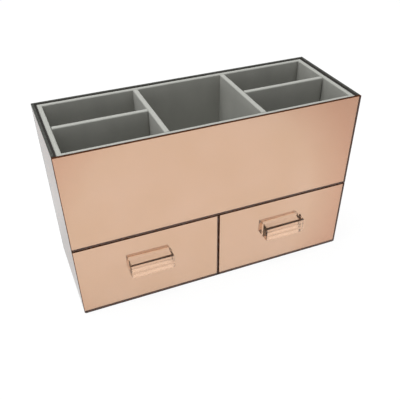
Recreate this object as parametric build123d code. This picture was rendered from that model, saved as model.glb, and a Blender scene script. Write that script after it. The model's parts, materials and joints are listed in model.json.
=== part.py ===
from build123d import *
import os

# A mirrored desk organizer: a velvet tray with five compartments over two drawers.
# X runs left to right, Y front to back, Z up. The origin is the middle of the footprint,
# on the surface that the organizer stands on. Sizes are in millimetres.

# Outside of the case, without the drawer pulls
case_width = 280.0
case_depth = 105.0
case_height = 172.0

# Mirror panes
glass_thickness = 2.5
glass_arris = 0.5

# Boards of the case
side_board_thickness = 1.8
back_board_thickness = 1.0
base_board_thickness = 3.0
shelf_thickness = 3.0
partition_thickness = 3.0
drawer_bay_height = 74.0
board_top_setback = 1.0
front_relief = 0.3

# Felt sheet under the base
felt_thickness = 1.0
felt_inset = 1.0

# Velvet-covered tray
tray_wall_thickness = 4.5
tray_floor_thickness = 3.0
divider_thickness = 5.0
tray_top_setback = 0.5
tray_soft_edge = 1.2
bays_across = 3

# Drawers
drawer_wall_thickness = 4.0
drawer_floor_thickness = 3.0
drawer_pad_thickness = 1.5
drawer_side_clearance = 0.5
drawer_lift = 0.3
drawer_head_clearance = 2.0
drawer_back_clearance = 1.5
drawer_front_gap = 0.8
drawer_front_head_gap = 0.5
drawer_soft_edge = 1.0

# Clear drawer pulls, glued to the drawer panes
pull_length = 43.0
pull_foot_reach = 8.4
pull_lip_reach = 7.8
pull_lip_height = 14.3
pull_back_height = 16.3
pull_toe_radius = 0.6
pull_lip_radius = 0.6
pull_end_rake = 0.3
pull_end_radius = 1.0
pull_above_pane_edge = 35.1

# Levels, from the table up
base_bottom = felt_thickness
base_top = base_bottom + base_board_thickness
shelf_bottom = base_top + drawer_bay_height
shelf_top = shelf_bottom + shelf_thickness
board_top = case_height - board_top_setback
tray_top = case_height - tray_top_setback

# Planes across the case, from the front back
front_face = -case_depth / 2
front_glass_back = front_face + glass_thickness
board_front = front_glass_back + front_relief
back_face = case_depth / 2
back_glass_front = back_face - glass_thickness
back_board_front = back_glass_front - back_board_thickness

# Planes to the right of the middle; the left ones mirror them
side_face = case_width / 2
side_glass_inside = side_face - glass_thickness
side_board_inside = side_glass_inside - side_board_thickness


def block(x, y, z):
    """A plain board between the low and high values of each pair."""
    size = Box(x[1] - x[0], y[1] - y[0], z[1] - z[0], align=(Align.MIN, Align.MIN, Align.MIN))
    return Pos(x[0], y[0], z[0]) * size


def pane(x, y, z):
    """A mirror pane with a small arris ground along every edge."""
    glass = block(x, y, z)
    return chamfer(glass.edges(), glass_arris)


def soft_board(x, y, z, along, soft_edge):
    """A velvet-covered board whose two long top edges are rounded by the cloth."""
    board = block(x, y, z)
    long_edges = board.edges().group_by(Axis.Z)[-1].filter_by(along)
    return fillet(long_edges, soft_edge)


def mitred_wall(length, thickness, height, soft_edge):
    """A velvet-covered wall along X, its outer face at Y 0, mitred where it meets its neighbours."""
    half = length / 2
    outline = Polyline(
        (-half, 0), (half, 0), (half - thickness, thickness), (thickness - half, thickness), close=True
    )
    wall = extrude(make_face(outline), height)
    long_edges = wall.edges().group_by(Axis.Z)[-1].filter_by(Axis.X)
    return fillet(long_edges, soft_edge)


def lined_walls(x, y, z, thickness, soft_edge):
    """The four mitred walls of a lined box, by the side that each stands on."""
    middle_x = (x[0] + x[1]) / 2
    middle_y = (y[0] + y[1]) / 2
    across = mitred_wall(x[1] - x[0], thickness, z[1] - z[0], soft_edge)
    along = mitred_wall(y[1] - y[0], thickness, z[1] - z[0], soft_edge)
    return {
        "front": Pos(middle_x, y[0], z[0]) * across,
        "back": Pos(middle_x, y[1], z[0]) * Rot(Z=180) * across,
        "left": Pos(x[0], middle_y, z[0]) * Rot(Z=-90) * along,
        "right": Pos(x[1], middle_y, z[0]) * Rot(Z=90) * along,
    }


def case_boards():
    """The dark boards that carry the panes, the tray and the drawers."""
    felt_x = side_face - felt_inset
    felt_y = case_depth / 2 - felt_inset
    inside = (-side_board_inside, side_board_inside)
    upright = (base_top, board_top)
    return {
        "base_felt": block((-felt_x, felt_x), (-felt_y, felt_y), (0, base_bottom)),
        "base_board": block(
            (-side_glass_inside, side_glass_inside), (board_front, back_glass_front), (base_bottom, base_top)
        ),
        "left_side_board": block(
            (-side_glass_inside, -side_board_inside), (board_front, back_glass_front), upright
        ),
        "right_side_board": block(
            (side_board_inside, side_glass_inside), (board_front, back_glass_front), upright
        ),
        "back_board": block(inside, (back_board_front, back_glass_front), upright),
        "shelf_board": block(inside, (board_front, back_board_front), (shelf_bottom, shelf_top)),
        "drawer_partition": block(
            (-partition_thickness / 2, partition_thickness / 2),
            (board_front, back_board_front),
            (base_top, shelf_bottom),
        ),
    }


def case_mirrors():
    """The panes outside the case: the front and back ones cover the edges of the side ones."""
    whole = (-side_face, side_face)
    sides = (board_front, back_glass_front)
    upright = (base_bottom, case_height)
    return {
        "front_mirror": pane(whole, (front_face, front_glass_back), (shelf_bottom, case_height)),
        "back_mirror": pane(whole, (back_glass_front, back_face), upright),
        "left_side_mirror": pane((-side_face, -side_glass_inside), sides, upright),
        "right_side_mirror": pane((side_glass_inside, side_face), sides, upright),
    }


def tray():
    """The velvet tray: a floor, four walls, two dividers from front to back and two across."""
    x = (-side_board_inside, side_board_inside)
    y = (front_glass_back, back_board_front)
    floor_top = shelf_top + tray_floor_thickness
    level = (floor_top, tray_top)
    pieces = {"tray_floor": block(x, y, (shelf_top, floor_top))}
    walls = lined_walls(x, y, level, tray_wall_thickness, tray_soft_edge)
    for side, wall in walls.items():
        pieces[f"tray_{side}_wall"] = wall

    inner_x = side_board_inside - tray_wall_thickness
    inner_y = (y[0] + tray_wall_thickness, y[1] - tray_wall_thickness)
    middle_y = (inner_y[0] + inner_y[1]) / 2
    cross_y = (middle_y - divider_thickness / 2, middle_y + divider_thickness / 2)
    bay_width = (2 * inner_x - (bays_across - 1) * divider_thickness) / bays_across
    for side, sign in (("left", -1), ("right", 1)):
        near = inner_x - bay_width
        far = near - divider_thickness
        long_x = sorted((sign * near, sign * far))
        cross_x = sorted((sign * inner_x, sign * near))
        pieces[f"tray_{side}_divider"] = soft_board(long_x, inner_y, level, Axis.Y, tray_soft_edge)
        pieces[f"tray_{side}_cross_divider"] = soft_board(cross_x, cross_y, level, Axis.X, tray_soft_edge)
    return pieces


def pull_section():
    """The pull from the side: reach to the right, height up, with its back on the left."""
    foot = (pull_foot_reach, 0)
    lip = (pull_lip_reach, pull_lip_height)
    section = make_face(Polyline((0, 0), foot, lip, (0, pull_back_height), close=True))
    section = fillet(section.vertices().sort_by_distance(foot)[0], pull_toe_radius)
    return fillet(section.vertices().sort_by_distance(lip)[0], pull_lip_radius)


def pull():
    """A clear bar pull: its front leans out a little to the foot, its top falls to the lip.

    Its back lies in the plane Y 0 and its underside at Z 0, and it reaches out along -Y.
    """
    half = pull_length / 2
    top_half = half - pull_end_rake
    across = Plane(origin=(-half, 0, 0), x_dir=(0, -1, 0), z_dir=(-1, 0, 0))
    bar = extrude(across * pull_section(), -pull_length)
    elevation = Polyline(
        (-half, 0), (half, 0), (top_half, pull_back_height), (-top_half, pull_back_height), close=True
    )
    bar &= extrude(Plane.XZ * make_face(elevation), pull_foot_reach)
    ends = bar.faces().sort_by(Axis.X)
    end_edges = ends[0].edges() + ends[-1].edges()
    outer_edges = end_edges.filter_by(lambda edge: edge.center().Y < -pull_end_radius)
    return fillet(outer_edges, pull_end_radius)


def drawer(side, sign):
    """One drawer: a mirror front with a clear pull on a velvet-lined box."""
    pane_x = sorted((sign * side_face, sign * drawer_front_gap / 2))
    pane_z = (base_bottom + drawer_lift, shelf_bottom - drawer_front_head_gap)
    outer_x = sign * (side_board_inside - drawer_side_clearance)
    inner_x = sign * (partition_thickness / 2 + drawer_side_clearance)
    box_x = sorted((outer_x, inner_x))
    box_y = (front_glass_back, back_board_front - drawer_back_clearance)
    box_z = (base_top + drawer_lift, shelf_bottom - drawer_head_clearance)
    floor_x = (box_x[0] + drawer_wall_thickness, box_x[1] - drawer_wall_thickness)
    floor_y = (box_y[0] + drawer_wall_thickness, box_y[1] - drawer_wall_thickness)
    floor_top = box_z[0] + drawer_floor_thickness

    pieces = {}
    pieces[f"{side}_drawer_mirror"] = pane(pane_x, (front_face, front_glass_back), pane_z)
    walls = lined_walls(box_x, box_y, box_z, drawer_wall_thickness, drawer_soft_edge)
    for wall_side, wall in walls.items():
        pieces[f"{side}_drawer_{wall_side}_wall"] = wall
    pieces[f"{side}_drawer_floor"] = block(floor_x, floor_y, (box_z[0], floor_top))
    pieces[f"{side}_drawer_pad"] = block(floor_x, floor_y, (floor_top, floor_top + drawer_pad_thickness))
    pull_place = Pos((pane_x[0] + pane_x[1]) / 2, front_face, pane_z[0] + pull_above_pane_edge)
    pieces[f"{side}_drawer_pull"] = pull_place * pull()
    return pieces


nodes = {}
nodes.update(case_boards())
nodes.update(case_mirrors())
nodes.update(tray())
for drawer_side, drawer_sign in (("left", -1), ("right", 1)):
    nodes.update(drawer(drawer_side, drawer_sign))

os.makedirs("parts", exist_ok=True)
for name, shape in nodes.items():
    export_step(shape, f"parts/{name}.step")
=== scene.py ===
import json
import math

import bmesh
import bpy
from mathutils import Matrix, Vector, noise

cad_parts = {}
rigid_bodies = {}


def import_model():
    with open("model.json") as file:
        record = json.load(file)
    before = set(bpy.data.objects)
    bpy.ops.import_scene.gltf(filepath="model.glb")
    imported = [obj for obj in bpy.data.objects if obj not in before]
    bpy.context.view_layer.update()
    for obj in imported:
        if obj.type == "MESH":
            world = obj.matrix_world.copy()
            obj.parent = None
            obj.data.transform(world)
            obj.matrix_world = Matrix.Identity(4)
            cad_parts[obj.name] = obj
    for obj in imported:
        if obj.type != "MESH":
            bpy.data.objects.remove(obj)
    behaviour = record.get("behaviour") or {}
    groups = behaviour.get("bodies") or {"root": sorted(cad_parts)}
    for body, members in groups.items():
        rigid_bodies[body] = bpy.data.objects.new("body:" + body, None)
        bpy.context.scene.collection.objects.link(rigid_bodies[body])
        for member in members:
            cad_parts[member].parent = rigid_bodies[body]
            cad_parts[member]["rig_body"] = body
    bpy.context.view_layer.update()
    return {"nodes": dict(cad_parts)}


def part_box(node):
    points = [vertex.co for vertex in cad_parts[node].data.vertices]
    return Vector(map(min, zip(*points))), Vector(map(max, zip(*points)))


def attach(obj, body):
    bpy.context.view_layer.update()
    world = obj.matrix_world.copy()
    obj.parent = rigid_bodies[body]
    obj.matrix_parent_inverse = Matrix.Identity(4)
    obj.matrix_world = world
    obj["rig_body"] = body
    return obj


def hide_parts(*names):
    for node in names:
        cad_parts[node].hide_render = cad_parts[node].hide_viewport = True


# Looks of the mirrored organizer: silvered glass panes, velvet-covered boards and clear pulls
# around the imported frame. Lengths are in metres, and colours are written in sRGB.

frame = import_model()
millimetre = 0.001

# Camera of the photograph
camera_place = Vector((-0.16582, -0.41889, 0.37852))
camera_forward = Vector((0.28511, 0.71616, -0.63704))
camera_right = Vector((0.92541, -0.37879, -0.01165))
camera_clip = (0.01, 100.0)
sensor_width_mm = 36.0
focal_length_pixels = 530.66
frame_width_pixels = 400
frame_shift = 0.1025

# Light
sky_level = 0.45
key_level = 0.6
key_place = Vector((-0.25, 0.1, 1.2))
key_size = 0.7

# The studio that metal and glass show. It turns from dark to white while the cosine of the
# angle to its front goes through room_turn. It is white along the horizon too, and that
# fades out where a direction rises by room_horizon.
room_white = 0.88
room_dark = 0.12
room_front = Vector((-0.2, -0.85, 0.5))
room_turn = (-0.1, 0.45)
room_horizon = 0.12
softbox_level = 0.3
softbox_aim = Vector((0.3, -0.72, 0.6))
softbox_edge_degrees = (26.0, 16.0)

# Floor. Metal and glass show a pool of light on it, and the studio's white from floor_far on.
# The object's shade dims the pool. It is deepest in the box from shade_low to shade_high.
floor_half_width = 8.0
floor_lit_albedo = 0.8
floor_shade_albedo = 0.12
floor_own_white = 0.93
floor_mirrored_white = 0.85
floor_far = 2.0
pool_middle = (0.03, -0.2, 0.0)
pool_inner = 0.12
pool_outer = 0.5
pool_dim = 0.74
shade_low = (-0.14, 0.03, 0.0)
shade_high = (0.14, 0.0525, 0.0)
shade_reach = 0.1
shade_dim = 0.82

# Mirror panes. pane_parts has the order of their materials. flat_facing and arris_facing are
# # cosines of the angle between a face's normal and the way the pane faces: the least for its
# # flat face, and for its arris. The silvering is painted palest at silvering_unshaded_place and
# # darker from one distance of silvering_painted_shade_span to the other: painted shade, standing
# # in for a dimmer reflection towards the corners.
pane_parts = ("glass", "silvering", "edge", "arris", "cement", "paint")
flat_facing = 0.99
arris_facing = 0.1
arris = 0.4 * millimetre
arris_steps = 2
glue_line = 0.06 * millimetre
paint_thickness = 0.03 * millimetre
glass_index = 1.52
silvering_unshaded_place = (-0.02, -0.05, 0.07)
silvering_painted_shade_span = (0.12, 0.165)

# The two tones between which each kind of ground edge is mottled. On the front panes the side
# # tones are lighter than the top tones: painted light, as if the sides caught more light
plain_edge_tones = ((66, 67, 64), (92, 93, 89))
front_edge_shaded_top_tones = ((60, 34, 20), (78, 47, 30))
front_edge_lit_side_tones = ((84, 60, 45), (106, 82, 66))
front_arris_shaded_top_tones = ((80, 42, 22), (98, 56, 32))
front_arris_lit_side_tones = ((92, 48, 24), (112, 68, 42))

# Velvet-covered boards. The ripples in the cloth fade to ripple_end_share at a board's ends,
# within ripple_fade_radii times the radius of its soft edges.
soft_edge = {
    "tray": 1.2 * millimetre,
    "left_drawer": 1.0 * millimetre,
    "right_drawer": 1.0 * millimetre,
}
edge_steps = 5
side_steps = 8
station_pitch = 4.0 * millimetre
ripple_depth = 0.16 * millimetre
ripple_length = 14.0 * millimetre
ripple_end_share = 0.2
ripple_fade_radii = 4
butt_radius = 0.7 * millimetre
butt_clear_radii = 1.5
cross_divider_trim = {"left": (0.4 * millimetre, 0.0), "right": (0.0, 0.8 * millimetre)}
velvet_sharp_degrees = 50

# Clear pulls
pull_length = 43.0 * millimetre
pull_foot_reach = 8.4 * millimetre
pull_lip_reach = 7.8 * millimetre
pull_back_height = 16.3 * millimetre
pull_toe_radius = 0.6 * millimetre
pull_lip_radius = 0.6 * millimetre
pull_end_rake = 0.3 * millimetre
pull_end_radius = 1.0 * millimetre
pull_arc_steps = 8
pull_bedding = 0.03 * millimetre
pull_sharp_degrees = 28
acrylic_index = 1.49

# The heights of each pull's lip and back at its left and at its right end: the tops are
# polished by hand, so they aren't quite true
pull_tops = {
    "left_drawer": (Vector((14.2, 16.3)) * millimetre, Vector((13.8, 15.4)) * millimetre),
    "right_drawer": (Vector((13.8, 15.4)) * millimetre, Vector((14.2, 16.3)) * millimetre),
}

# Steps of the rounding at the ends of dividers and pulls
end_steps = 4

# The sockets of a Mix node that take and give colours
mix_colour_inputs = (6, 7)
mix_colour_output = 2


def linear(red, green, blue):
    """An sRGB colour of 0 to 255 as the linear colour that a shader takes."""
    values = []
    for value in (red, green, blue):
        share = value / 255
        values.append(share / 12.92 if share <= 0.04045 else ((share + 0.055) / 1.055) ** 2.4)
    return (*values, 1.0)


def feed(tree, value, socket):
    """Gives a socket a fixed value, or another node's output."""
    if isinstance(value, bpy.types.NodeSocket):
        tree.links.new(value, socket)
    else:
        socket.default_value = value


def scalar_math(tree, operation, first, second=0.0):
    """An operation on two plain numbers, each a value or another node's output."""
    made = tree.nodes.new("ShaderNodeMath")
    made.operation = operation
    feed(tree, first, made.inputs[0])
    feed(tree, second, made.inputs[1])
    return made.outputs[0]


def vector_math(tree, operation, first, second):
    """The outputs of an operation on two vectors, each a value or another node's output."""
    made = tree.nodes.new("ShaderNodeVectorMath")
    made.operation = operation
    feed(tree, first, made.inputs[0])
    feed(tree, second, made.inputs[1])
    return made.outputs


def map_range(tree, source, from_low, from_high, to_low, to_high, smooth=False):
    """A number taken from one range to another, and held within it."""
    made = tree.nodes.new("ShaderNodeMapRange")
    made.interpolation_type = "SMOOTHSTEP" if smooth else "LINEAR"
    feed(tree, source, made.inputs["Value"])
    feed(tree, from_low, made.inputs["From Min"])
    feed(tree, from_high, made.inputs["From Max"])
    feed(tree, to_low, made.inputs["To Min"])
    feed(tree, to_high, made.inputs["To Max"])
    return made.outputs["Result"]


def choose(tree, share, other, chosen):
    """A mix of two numbers: other where share is 0 and chosen where it is 1."""
    made = tree.nodes.new("ShaderNodeMix")
    feed(tree, share, made.inputs["Factor"])
    feed(tree, other, made.inputs["A"])
    feed(tree, chosen, made.inputs["B"])
    return made.outputs["Result"]


class Shader:
    """A material whose nodes are added one after another around a Principled shader."""

    def __init__(self, name):
        self.material = bpy.data.materials.new(name)
        self.material.use_nodes = True
        self.tree = self.material.node_tree
        self.principled = self.tree.nodes["Principled BSDF"]
        coordinates = self.node("ShaderNodeTexCoord").outputs
        self.place = coordinates["Object"]
        self.facing = coordinates["Normal"]

    def node(self, kind):
        return self.tree.nodes.new(kind)

    def join(self, source, target):
        self.tree.links.new(source, target)

    def set(self, **values):
        """Sets the Principled shader's own sockets, named with _ for a blank."""
        for key, value in values.items():
            self.principled.inputs[key.replace("_", " ")].default_value = value

    def noise(self, size, detail=3.0, roughness=0.5, stretch=(1, 1, 1)):
        """Noise whose features are about size metres wide, drawn out along an axis by stretch."""
        mapping = self.node("ShaderNodeMapping")
        mapping.inputs["Scale"].default_value = [1 / (size * s) for s in stretch]
        self.join(self.place, mapping.inputs["Vector"])
        made = self.node("ShaderNodeTexNoise")
        made.inputs["Scale"].default_value = 1.0
        made.inputs["Detail"].default_value = detail
        made.inputs["Roughness"].default_value = roughness
        self.join(mapping.outputs["Vector"], made.inputs["Vector"])
        return made.outputs["Fac"]

    def ranged(self, source, low, high, from_low=0.3, from_high=0.7):
        """A number taken to the range from low to high, by default from the range of a noise."""
        return map_range(self.tree, source, from_low, from_high, low, high)

    def rise(self):
        """How far the surface faces up: 1 on top, 0 on a wall and -1 underneath."""
        parts = self.node("ShaderNodeSeparateXYZ")
        self.join(self.facing, parts.inputs[0])
        return parts.outputs["Z"]

    def blend(self, factor, first, second):
        """A mix of two colours, each a colour or another node's output."""
        made = self.node("ShaderNodeMix")
        made.data_type = "RGBA"
        self.join(factor, made.inputs["Factor"])
        for value, index in zip((first, second), mix_colour_inputs):
            feed(self.tree, value, made.inputs[index])
        return made.outputs[mix_colour_output]

    def bump(self, height, distance, strength=1.0, before=None):
        """A normal raised by height, on top of the bumps of the normal before it."""
        made = self.node("ShaderNodeBump")
        made.inputs["Distance"].default_value = distance
        made.inputs["Strength"].default_value = strength
        self.join(height, made.inputs["Height"])
        if before is not None:
            self.join(before, made.inputs["Normal"])
        return made.outputs["Normal"]

    def colour(self, source):
        self.join(source, self.principled.inputs["Base Color"])

    def roughness(self, source):
        self.join(source, self.principled.inputs["Roughness"])

    def normal(self, source):
        self.join(source, self.principled.inputs["Normal"])


def clear_glass():
    """The polished face of a pane, with the faint smears of handling."""
    shader = Shader("clear_glass")
    shader.set(Base_Color=(1, 1, 1, 1), IOR=glass_index, Transmission_Weight=1.0)
    smears = shader.noise(30 * millimetre, detail=4, stretch=(1, 1, 2.5))
    shader.roughness(shader.ranged(smears, 0.0, 0.03, from_low=0.5, from_high=0.75))
    return shader.material


def rose_silvering():
    """The rose-gold silvering behind the glass: cloudy in tone, and darker and more orange towards
    the corners, which is painted shade.
    """
    shader = Shader("rose_silvering")
    shader.set(Metallic=0.88)
    cloud = shader.ranged(shader.noise(50 * millimetre, detail=2), 0, 1)
    open_tone = shader.blend(cloud, linear(224, 184, 152), linear(228, 189, 160))
    # Painted shade: the silvering darkens away from silvering_unshaded_place, for a dimmer
    # reflection near the corners
    away = vector_math(shader.tree, "DISTANCE", shader.place, silvering_unshaded_place)["Value"]
    painted_shade_share = shader.ranged(away, 0, 1, *silvering_painted_shade_span)
    shader.colour(shader.blend(painted_shade_share, open_tone, linear(217, 167, 136)))
    shader.roughness(shader.ranged(shader.noise(4 * millimetre), 0.01, 0.03))
    return shader.material


def ground_edge(name, shaded_top_tones, lit_side_tones):
    """The ground and sealed edge of a pane: one tone along its top and foot, another up its sides,
    which on the front panes is lighter as painted light, and brown where it shows through the
    glass."""
    shader = Shader(name)
    shader.set(Specular_IOR_Level=0.05)
    grain = shader.noise(0.8 * millimetre, detail=4, stretch=(3, 3, 1))
    mottle = shader.ranged(grain, 0, 1)
    level = scalar_math(shader.tree, "ABSOLUTE", shader.rise())
    # Painted light: faces that look up or down take the top tones, the rest the lighter side tones
    shaded_top_share = shader.ranged(level, 0, 1, from_low=0.3, from_high=0.8)
    top = shader.blend(mottle, *(linear(*tone) for tone in shaded_top_tones))
    side = shader.blend(mottle, *(linear(*tone) for tone in lit_side_tones))
    outside = shader.blend(shaded_top_share, side, top)
    inside = shader.node("ShaderNodeNewGeometry").outputs["Backfacing"]
    shader.colour(shader.blend(inside, outside, linear(132, 86, 57)))
    shader.roughness(shader.ranged(grain, 0.3, 0.5))
    shader.normal(shader.bump(grain, 0.05 * millimetre))
    return shader.material


def clear_cement():
    """The clear cement between a pull and its pane, which light passes as if it weren't there."""
    shader = Shader("clear_cement")
    shader.set(Alpha=0.0, Roughness=0.0)
    return shader.material


def backing_paint():
    """The dark protective paint on the back of a pane's silvering."""
    shader = Shader("backing_paint")
    streaks = shader.noise(1.5 * millimetre, detail=4, stretch=(1, 1, 6))
    tone = shader.blend(shader.ranged(streaks, 0, 1), linear(70, 66, 62), linear(84, 79, 74))
    shader.colour(tone)
    shader.roughness(shader.ranged(streaks, 0.45, 0.65))
    shader.normal(shader.bump(streaks, 0.02 * millimetre))
    return shader.material


def dark_board():
    """Thin board covered in near-black paper, paler where it is worn."""
    shader = Shader("dark_board")
    fibre = shader.noise(0.6 * millimetre, detail=5, roughness=0.6, stretch=(1, 1, 3))
    wear = shader.noise(20 * millimetre, detail=3)
    paper = shader.blend(shader.ranged(fibre, 0, 1), linear(40, 38, 37), linear(54, 51, 49))
    worn = shader.ranged(wear, 0, 0.5, from_low=0.5, from_high=0.8)
    shader.colour(shader.blend(worn, paper, linear(62, 58, 55)))
    shader.roughness(shader.ranged(wear, 0.5, 0.7))
    shader.normal(shader.bump(fibre, 0.04 * millimetre))
    return shader.material


def grey_velvet():
    """Short-piled grey velvet glued to board: brushed patches, fine pile, a soft sheen, and
    painted light, which makes every face that looks up paler than the walls, as if lit from above."""
    shader = Shader("grey_velvet")
    shader.set(Sheen_Weight=0.35, Sheen_Roughness=0.45, Sheen_Tint=linear(206, 208, 203))
    shader.set(Specular_IOR_Level=0.2)
    brushed = shader.noise(22 * millimetre, detail=3, stretch=(1, 1, 1.8))
    pile = shader.noise(0.5 * millimetre, detail=3, roughness=0.7)
    patch = shader.ranged(brushed, 0, 1)
    base = shader.blend(patch, linear(164, 164, 158), linear(174, 174, 168))
    # Painted light: faces that look up are painted paler than the walls, as if lit from above
    painted_top_light_share = shader.ranged(shader.rise(), 0, 1, from_low=0.1, from_high=0.9)
    painted_top_light_colour = shader.blend(painted_top_light_share, base, linear(184, 185, 179))
    shader.colour(shader.blend(shader.ranged(pile, 0, 0.3), painted_top_light_colour, linear(132, 133, 127)))
    shader.roughness(shader.ranged(pile, 0.85, 1.0))
    patches = shader.bump(brushed, 0.25 * millimetre, strength=0.6)
    shader.normal(shader.bump(pile, 0.12 * millimetre, strength=0.8, before=patches))
    return shader.material


def black_felt():
    """Pressed black felt under the base."""
    shader = Shader("black_felt")
    shader.set(Sheen_Weight=0.25, Sheen_Roughness=0.6)
    fibre = shader.noise(0.9 * millimetre, detail=5, roughness=0.75)
    shader.colour(shader.blend(shader.ranged(fibre, 0, 1), linear(26, 26, 27), linear(52, 51, 50)))
    shader.roughness(shader.ranged(fibre, 0.9, 1.0))
    shader.normal(shader.bump(fibre, 0.2 * millimetre))
    return shader.material


def clear_acrylic():
    """Cast clear acrylic with the faintest handling haze."""
    shader = Shader("clear_acrylic")
    shader.set(Base_Color=(1, 1, 1, 1), IOR=acrylic_index, Transmission_Weight=1.0)
    haze = shader.noise(6 * millimetre, detail=3)
    shader.roughness(shader.ranged(haze, 0.0, 0.04, from_low=0.45, from_high=0.8))
    return shader.material


finish = {
    "glass": clear_glass(),
    "silvering": rose_silvering(),
    "edge": ground_edge("ground_edge", plain_edge_tones, plain_edge_tones),
    "front_edge": ground_edge("front_edge", front_edge_shaded_top_tones, front_edge_lit_side_tones),
    "front_arris": ground_edge("front_arris", front_arris_shaded_top_tones, front_arris_lit_side_tones),
    "board": dark_board(),
    "velvet": grey_velvet(),
    "felt": black_felt(),
    "acrylic": clear_acrylic(),
    "cement": clear_cement(),
    "paint": backing_paint(),
}


def add_object(name, data):
    """A new object in the scene."""
    made = bpy.data.objects.new(name, data)
    bpy.context.scene.collection.objects.link(made)
    return made


def add_piece(name, mesh, node, looks, sharp_degrees=None):
    """Puts a new piece in the scene in place of a CAD node, on the same body."""
    piece = add_object(name, mesh)
    for look in looks:
        mesh.materials.append(finish[look])
    if sharp_degrees is not None:
        mesh.shade_smooth()
        mesh.set_sharp_from_angle(angle=math.radians(sharp_degrees))
    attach(piece, frame["nodes"][node]["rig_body"])
    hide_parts(node)


def add_box(made, low, high):
    """Adds a closed box to an editable mesh and returns its faces."""
    matrix = Matrix.Translation((low + high) / 2) @ Matrix.Diagonal((*(high - low), 1))
    corners = bmesh.ops.create_cube(made, size=1.0, matrix=matrix)["verts"]
    return {face for corner in corners for face in corner.link_faces}


def lofted_mesh(name, rings):
    """A closed mesh through rings of points, with flat ends and its normals turned outward."""
    count = len(rings[0])
    faces = []
    for first in range(0, (len(rings) - 1) * count, count):
        for j in range(count):
            k = (j + 1) % count
            faces.append((first + j, first + k, first + count + k, first + count + j))
    last = (len(rings) - 1) * count
    faces.append(tuple(range(count)))
    faces.append(tuple(range(last, last + count)))
    mesh = bpy.data.meshes.new(name)
    mesh.from_pydata([tuple(point) for ring in rings for point in ring], [], faces)
    made = bmesh.new()
    made.from_mesh(mesh)
    bmesh.ops.recalc_face_normals(made, faces=made.faces)
    made.to_mesh(mesh)
    made.free()
    return mesh


def rounded_end(radius):
    """Stations of a rounded end: the distance from its tip, and how far the section draws in."""
    stations = []
    for step in range(end_steps, -1, -1):
        angle = math.pi / 2 * step / end_steps
        stations.append((radius * (1 - math.sin(angle)), radius * (1 - math.cos(angle))))
    return stations


def pull_foot(owner):
    """The middle of the foot of a pull's back, on the face of its pane."""
    low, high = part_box(f"{owner}_pull")
    return Vector(((low.x + high.x) / 2, high.y, low.z))


def front_faces(made):
    """The faces of an editable mesh that face the front."""
    return [face for face in made.faces if face.normal.y < -flat_facing]


def cement_patch(made, owner):
    """Cuts a pull's footprint out of the front face of its pane and returns the face inside it."""
    foot = pull_foot(owner)
    left, right = pull_tops[owner]
    half = (pull_length - pull_end_rake) / 2
    top = Vector((left.y - right.y, 0, 2 * half)).normalized()
    cuts = (
        (foot - Vector((half, 0, 0)), Vector((1, 0, 0))),
        (foot + Vector((half, 0, 0)), Vector((1, 0, 0))),
        (foot, Vector((0, 0, 1))),
        (foot + Vector((0, 0, (left.y + right.y) / 2)), top),
    )
    for point, normal in cuts:
        front = front_faces(made)
        parts = front + list({edge for face in front for edge in face.edges})
        parts += list({vertex for face in front for vertex in face.verts})
        bmesh.ops.bisect_plane(made, geom=parts, plane_co=point, plane_no=normal)
    middle = foot + Vector((0, 0, pull_back_height / 2))
    return min(
        front_faces(made), key=lambda face: (face.calc_center_median().xz - middle.xz).length
    )


def pane_part(face, outward):
    """The part of a pane that one of its outer faces belongs to."""
    facing = face.normal.dot(outward)
    if facing > flat_facing:
        return "glass"
    if facing < -flat_facing:
        return "silvering"
    return "arris" if facing > arris_facing else "edge"


def mirror_pane(node, outward, owner=None):
    """A pane of silvered glass: clear outer face, silvering behind, ground edges all round.

    The silvering and its coat of paint stand off the boards by the line of glue behind them.
    owner is the drawer whose pull is cemented to the pane.
    """
    low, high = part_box(node)
    paint_low, paint_high = low.copy(), high.copy()
    for axis in range(3):
        if outward[axis] > 0:
            low[axis] += glue_line
            paint_high[axis] = low[axis] - paint_thickness / 2
            paint_low[axis] = paint_high[axis] - paint_thickness
        elif outward[axis] < 0:
            high[axis] -= glue_line
            paint_low[axis] = high[axis] + paint_thickness / 2
            paint_high[axis] = paint_low[axis] + paint_thickness
        else:
            paint_low[axis] += arris
            paint_high[axis] -= arris
    made = bmesh.new()
    add_box(made, low, high)
    bmesh.ops.bevel(
        made, geom=made.edges[:], offset=arris, segments=arris_steps, profile=0.5, affect="EDGES"
    )
    made.normal_update()
    for face in made.faces:
        face.material_index = pane_parts.index(pane_part(face, outward))
    if owner is not None:
        cement_patch(made, owner).material_index = pane_parts.index("cement")
    for face in add_box(made, paint_low, paint_high):
        face.material_index = pane_parts.index("paint")
    name = f"{node}_glass"
    mesh = bpy.data.meshes.new(name)
    made.to_mesh(mesh)
    made.free()
    faces_front = outward.y < 0
    renamed = {"edge": "front_edge", "arris": "front_arris"} if faces_front else {"arris": "edge"}
    looks = [renamed.get(part, part) for part in pane_parts]
    add_piece(name, mesh, node, looks)


def quarter_arc(centre, radius, start_degrees):
    """Points on the quarter of a circle that starts at an angle."""
    points = []
    for step in range(edge_steps + 1):
        angle = math.radians(start_degrees + 90 * step / edge_steps)
        across = centre[0] + radius * math.cos(angle)
        points.append((across, centre[1] + radius * math.sin(angle)))
    return points


def board_section(thickness, height, radius):
    """The section of a covered board, from its outer foot over the rounded top and down."""
    wall_height = height - radius
    section = [(0.0, 0.0), (thickness, 0.0)]
    for step in range(1, side_steps):
        section.append((thickness, wall_height * step / side_steps))
    section += quarter_arc((thickness - radius, wall_height), radius, 0)
    section += quarter_arc((radius, wall_height), radius, 90)
    for step in range(side_steps - 1, 0, -1):
        section.append((0.0, wall_height * step / side_steps))
    return section


def board_stations(length, mitred):
    """Stations along a board: the distance from its low end, and how far the cloth draws in."""
    count = max(2, round(length / station_pitch))
    stations = [(length * i / count, 0.0) for i in range(count + 1)]
    if mitred:
        return stations
    clear = butt_radius * butt_clear_radii
    inside = [station for station in stations if clear < station[0] < length - clear]
    low_end = rounded_end(butt_radius)
    high_end = [(length - place, inset) for place, inset in reversed(low_end)]
    return low_end + inside + high_end


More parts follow.
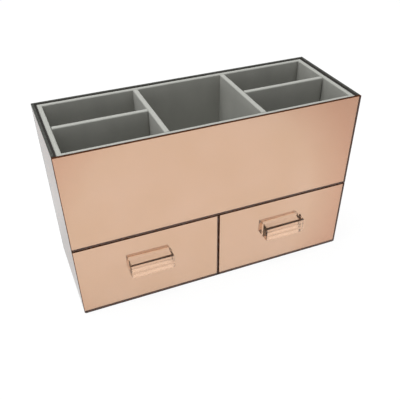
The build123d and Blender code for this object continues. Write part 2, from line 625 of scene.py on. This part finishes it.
def covered_board(node, along, radius, inner_sign=1, mitred=False, trim=(0.0, 0.0)):
    """A velvet-covered board in place of a CAD wall, with gentle ripples in the cloth.

    along is 0 for a board along X and 1 for one along Y, and radius rounds its top edges.
    inner_sign says on which side of its outer face the board lies. A mitred board narrows
    towards its inner face, and any other has cushioned butt ends. trim shortens the low and
    the high end.
    """
    low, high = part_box(node)
    across = 1 - along
    thickness = high[across] - low[across]
    height = high[2] - low[2]
    section = board_section(thickness, height, radius)
    start, end = low[along] + trim[0], high[along] - trim[1]
    length = end - start
    outer = low[across] if inner_sign > 0 else high[across]
    rings = []
    for place, inset in board_stations(length, mitred):
        end_fade = min(place, length - place) / (ripple_fade_radii * radius) + ripple_end_share
        ring = []
        for depth, rise in section:
            mitre = depth if mitred else 0.0
            squeezed = thickness / 2 + (depth - thickness / 2) * (1 - 2 * inset / thickness)
            point = Vector((0, 0, low[2] + rise * (1 - inset / height)))
            point[along] = start + mitre + (length - 2 * mitre) * place / length
            point[across] = outer + inner_sign * squeezed
            inward = Vector((0, 0, 0))
            inward[across] = inner_sign * (1 if squeezed < thickness / 2 else -1)
            inward[2] = -1 if rise > height - radius else 0
            ripple = ripple_depth * (0.5 + 0.5 * noise.noise(point / ripple_length))
            fade = min(1.0, rise / radius) * min(1.0, end_fade)
            ring.append(point + inward * ripple * fade)
        rings.append(ring)
    name = f"{node}_velvet"
    mesh = lofted_mesh(name, rings)
    add_piece(name, mesh, node, ["velvet"], velvet_sharp_degrees)


def rounded_corner(corner, before, after, radius):
    """Points of the arc that rounds a corner between two straight runs."""
    corner, before, after = Vector(corner), Vector(before), Vector(after)
    one = (before - corner).normalized()
    two = (after - corner).normalized()
    half_angle = one.angle(two) / 2
    reach = radius / math.tan(half_angle)
    centre = corner + (one + two).normalized() * radius / math.sin(half_angle)
    first = corner + one * reach - centre
    turn = first.angle_signed(corner + two * reach - centre)
    points = []
    for step in range(pull_arc_steps + 1):
        turned = first.copy()
        turned.rotate(Matrix.Rotation(-turn * step / pull_arc_steps, 2))
        points.append(tuple(centre + turned))
    return points


def pull_section(heights):
    """The pull's section as points of reach and height, round from the foot of its back.

    heights has the height of its lip and of its back.
    """
    base = (0.0, 0.0)
    toe = (pull_foot_reach, 0.0)
    lip = (pull_lip_reach, heights.x)
    back = (0.0, heights.y)
    toe_arc = rounded_corner(toe, base, lip, pull_toe_radius)
    lip_arc = rounded_corner(lip, toe, back, pull_lip_radius)
    return [base, *toe_arc, *lip_arc, back]


def inset_section(section, inset):
    """The section drawn in by inset, with its back left on the pane."""
    drawn_in = []
    count = len(section)
    for i, point in enumerate(section):
        before, here = Vector(section[i - 1]), Vector(point)
        after = Vector(section[(i + 1) % count])
        run = (after - here).normalized() + (here - before).normalized()
        inward = Vector((-run.y, run.x)).normalized()
        moved = here + inward * inset
        if here.x == 0.0:
            moved = Vector((0.0, here.y + math.copysign(inset, pull_back_height / 2 - here.y)))
        drawn_in.append(moved)
    return drawn_in


def clear_pull(owner):
    """A clear pull with raked, softly rounded ends and a top that isn't quite true."""
    node = f"{owner}_pull"
    half = pull_length / 2
    end = rounded_end(pull_end_radius)
    stations = [(place - half, inset) for place, inset in end]
    stations += [(half - place, inset) for place, inset in reversed(end)]
    foot = pull_foot(owner)
    left, right = pull_tops[owner]
    rings = []
    for run, inset in stations:
        section = pull_section(left.lerp(right, (run / half + 1) / 2))
        ring = []
        for reach, rise in inset_section(section, inset):
            raked = run * (1 - pull_end_rake * rise / (pull_back_height * half))
            ring.append(foot + Vector((raked, pull_bedding - reach, rise)))
        rings.append(ring)
    name = f"{node}_clear"
    mesh = lofted_mesh(name, rings)
    looks = ["acrylic", "cement"]
    for face in mesh.polygons:
        if face.normal.y > flat_facing:
            face.material_index = looks.index("cement")
    add_piece(name, mesh, node, looks, pull_sharp_degrees)


def dress_panes():
    """Puts a pane of silvered glass in place of each mirror."""
    mirror_pane("front_mirror", Vector((0, -1, 0)))
    mirror_pane("back_mirror", Vector((0, 1, 0)))
    mirror_pane("left_side_mirror", Vector((-1, 0, 0)))
    mirror_pane("right_side_mirror", Vector((1, 0, 0)))
    for owner in pull_tops:
        mirror_pane(f"{owner}_mirror", Vector((0, -1, 0)), owner)


def dress_walls():
    """Covers the walls of the tray and of both drawers, and the tray's dividers."""
    for owner, radius in soft_edge.items():
        covered_board(f"{owner}_front_wall", 0, radius, 1, mitred=True)
        covered_board(f"{owner}_back_wall", 0, radius, -1, mitred=True)
        covered_board(f"{owner}_left_wall", 1, radius, 1, mitred=True)
        covered_board(f"{owner}_right_wall", 1, radius, -1, mitred=True)
    radius = soft_edge["tray"]
    for side, trim in cross_divider_trim.items():
        covered_board(f"tray_{side}_divider", 1, radius)
        covered_board(f"tray_{side}_cross_divider", 0, radius, trim=trim)


def dress_nodes():
    """Gives the boards and floors that stay as the frame has them their finish."""
    case_boards = ["base_board", "shelf_board", "drawer_partition"]
    case_boards += ["left_side_board", "right_side_board", "back_board"]
    velvet = ["tray_floor", "left_drawer_floor", "right_drawer_floor"]
    velvet += ["left_drawer_pad", "right_drawer_pad"]
    for look, names in (("board", case_boards), ("felt", ["base_felt"]), ("velvet", velvet)):
        for name in names:
            slots = frame["nodes"][name].data.materials
            slots.clear()
            slots.append(finish[look])


def ray_shares(tree):
    """Two outputs: 1 for rays from the camera, and 1 for rays from metal or through glass."""
    path = tree.nodes.new("ShaderNodeLightPath").outputs
    mirrored = scalar_math(tree, "MAXIMUM", path["Is Glossy Ray"], path["Is Transmission Ray"])
    return path["Is Camera Ray"], mirrored


def mirrored_floor(tree):
    """How bright metal and glass show the floor: in a pool of light from the front, with the
    object's shade beside and behind it, and far away as bright as the studio, so that no
    horizon shows."""
    place = tree.nodes.new("ShaderNodeTexCoord").outputs["Object"]
    offset = vector_math(tree, "DISTANCE", place, pool_middle)["Value"]
    middle_level = floor_mirrored_white
    outer_level = floor_mirrored_white * pool_dim
    pool = map_range(tree, offset, pool_inner, pool_outer, middle_level, outer_level, smooth=True)
    beyond = vector_math(tree, "MAXIMUM", place, shade_low)["Vector"]
    nearest = vector_math(tree, "MINIMUM", beyond, shade_high)["Vector"]
    away = vector_math(tree, "DISTANCE", place, nearest)["Value"]
    shade = map_range(tree, away, 0.0, shade_reach, shade_dim, 1.0, smooth=True)
    far = map_range(tree, offset, pool_outer, floor_far, 0.0, 1.0, smooth=True)
    return choose(tree, far, scalar_math(tree, "MULTIPLY", pool, shade), room_white)


def diffuse(tree, albedo):
    """The output of a plain grey surface."""
    made = tree.nodes.new("ShaderNodeBsdfDiffuse")
    made.inputs["Color"].default_value = (albedo, albedo, albedo, 1)
    return made.outputs[0]


def studio_floor():
    """A plain white floor that lights the object like white paper. The camera, metal and glass
    see it by its own glow, with a faint shadow on it."""
    made = bmesh.new()
    bmesh.ops.create_grid(made, x_segments=1, y_segments=1, size=floor_half_width)
    mesh = bpy.data.meshes.new("floor")
    made.to_mesh(mesh)
    made.free()
    floor = add_object("floor", mesh)
    material = bpy.data.materials.new("studio_white")
    mesh.materials.append(material)
    material.use_nodes = True
    tree = material.node_tree
    tree.nodes.clear()
    camera, mirrored = ray_shares(tree)
    glow = tree.nodes.new("ShaderNodeEmission")
    level = choose(tree, camera, mirrored_floor(tree), floor_own_white)
    tree.links.new(level, glow.inputs["Strength"])
    seen = tree.nodes.new("ShaderNodeAddShader")
    tree.links.new(diffuse(tree, floor_shade_albedo), seen.inputs[0])
    tree.links.new(glow.outputs[0], seen.inputs[1])
    mix = tree.nodes.new("ShaderNodeMixShader")
    tree.links.new(scalar_math(tree, "MAXIMUM", camera, mirrored), mix.inputs[0])
    tree.links.new(diffuse(tree, floor_lit_albedo), mix.inputs[1])
    tree.links.new(seen.outputs[0], mix.inputs[2])
    output = tree.nodes.new("ShaderNodeOutputMaterial")
    tree.links.new(mix.outputs[0], output.inputs["Surface"])


def mirrored_room(tree):
    """How bright metal and glass show the studio: pale in front and along the floor, dark
    overhead and behind, with one softbox high in front."""
    direction = tree.nodes.new("ShaderNodeTexCoord").outputs["Generated"]
    facing = vector_math(tree, "DOT_PRODUCT", direction, room_front.normalized())["Value"]
    front = map_range(tree, facing, *room_turn, 0.0, 1.0, smooth=True)
    parts = tree.nodes.new("ShaderNodeSeparateXYZ")
    tree.links.new(direction, parts.inputs[0])
    low = map_range(tree, parts.outputs["Z"], 0.0, room_horizon, 1.0, 0.0, smooth=True)
    pale = scalar_math(tree, "MAXIMUM", front, low)
    room = map_range(tree, pale, 0.0, 1.0, room_dark, room_white)
    aimed = vector_math(tree, "DOT_PRODUCT", direction, softbox_aim.normalized())["Value"]
    edge = [math.cos(math.radians(angle)) for angle in softbox_edge_degrees]
    softbox = map_range(tree, aimed, *edge, 0.0, softbox_level, smooth=True)
    return scalar_math(tree, "ADD", room, softbox)


def studio_sky():
    """An even sky as light, white to the camera, and the studio to metal and glass."""
    world = bpy.data.worlds.new("studio_sky")
    bpy.context.scene.world = world
    world.use_nodes = True
    tree = world.node_tree
    camera, mirrored = ray_shares(tree)
    light = choose(tree, mirrored, sky_level, mirrored_room(tree))
    background = tree.nodes["Background"]
    background.inputs["Color"].default_value = (1, 1, 1, 1)
    tree.links.new(choose(tree, camera, light, 1.0), background.inputs["Strength"])


def key_light():
    """One large soft lamp, high on the left, which alone would show white paper on the floor at
    key_level. Metal and glass don't show it."""
    lamp = bpy.data.lights.new("key", "AREA")
    lamp.shape = "SQUARE"
    lamp.size = key_size
    away = key_place.length
    lamp.energy = key_level * math.pi**2 * away**2 / (key_place.z / away)
    key = add_object("key", lamp)
    key.location = key_place
    key.visible_glossy = False
    key.visible_transmission = False
    key.rotation_mode = "QUATERNION"
    key.rotation_quaternion = (-key_place).to_track_quat("-Z", "Y")


def photo_camera():
    """The camera of the photograph."""
    data = bpy.data.cameras.new("photo")
    data.sensor_width = sensor_width_mm
    data.lens = focal_length_pixels * sensor_width_mm / frame_width_pixels
    data.shift_y = frame_shift
    data.clip_start, data.clip_end = camera_clip
    camera = add_object("photo", data)
    forward = camera_forward.normalized()
    right = (camera_right - forward * camera_right.dot(forward)).normalized()
    turn = Matrix((right, right.cross(forward), -forward)).transposed()
    camera.matrix_world = Matrix.Translation(camera_place) @ turn.to_4x4()
    bpy.context.scene.camera = camera


photo_camera()
studio_sky()
studio_floor()
key_light()
dress_panes()
dress_walls()
dress_nodes()
for pull_owner in pull_tops:
    clear_pull(pull_owner)

bpy.context.scene.view_settings.view_transform = "Standard"
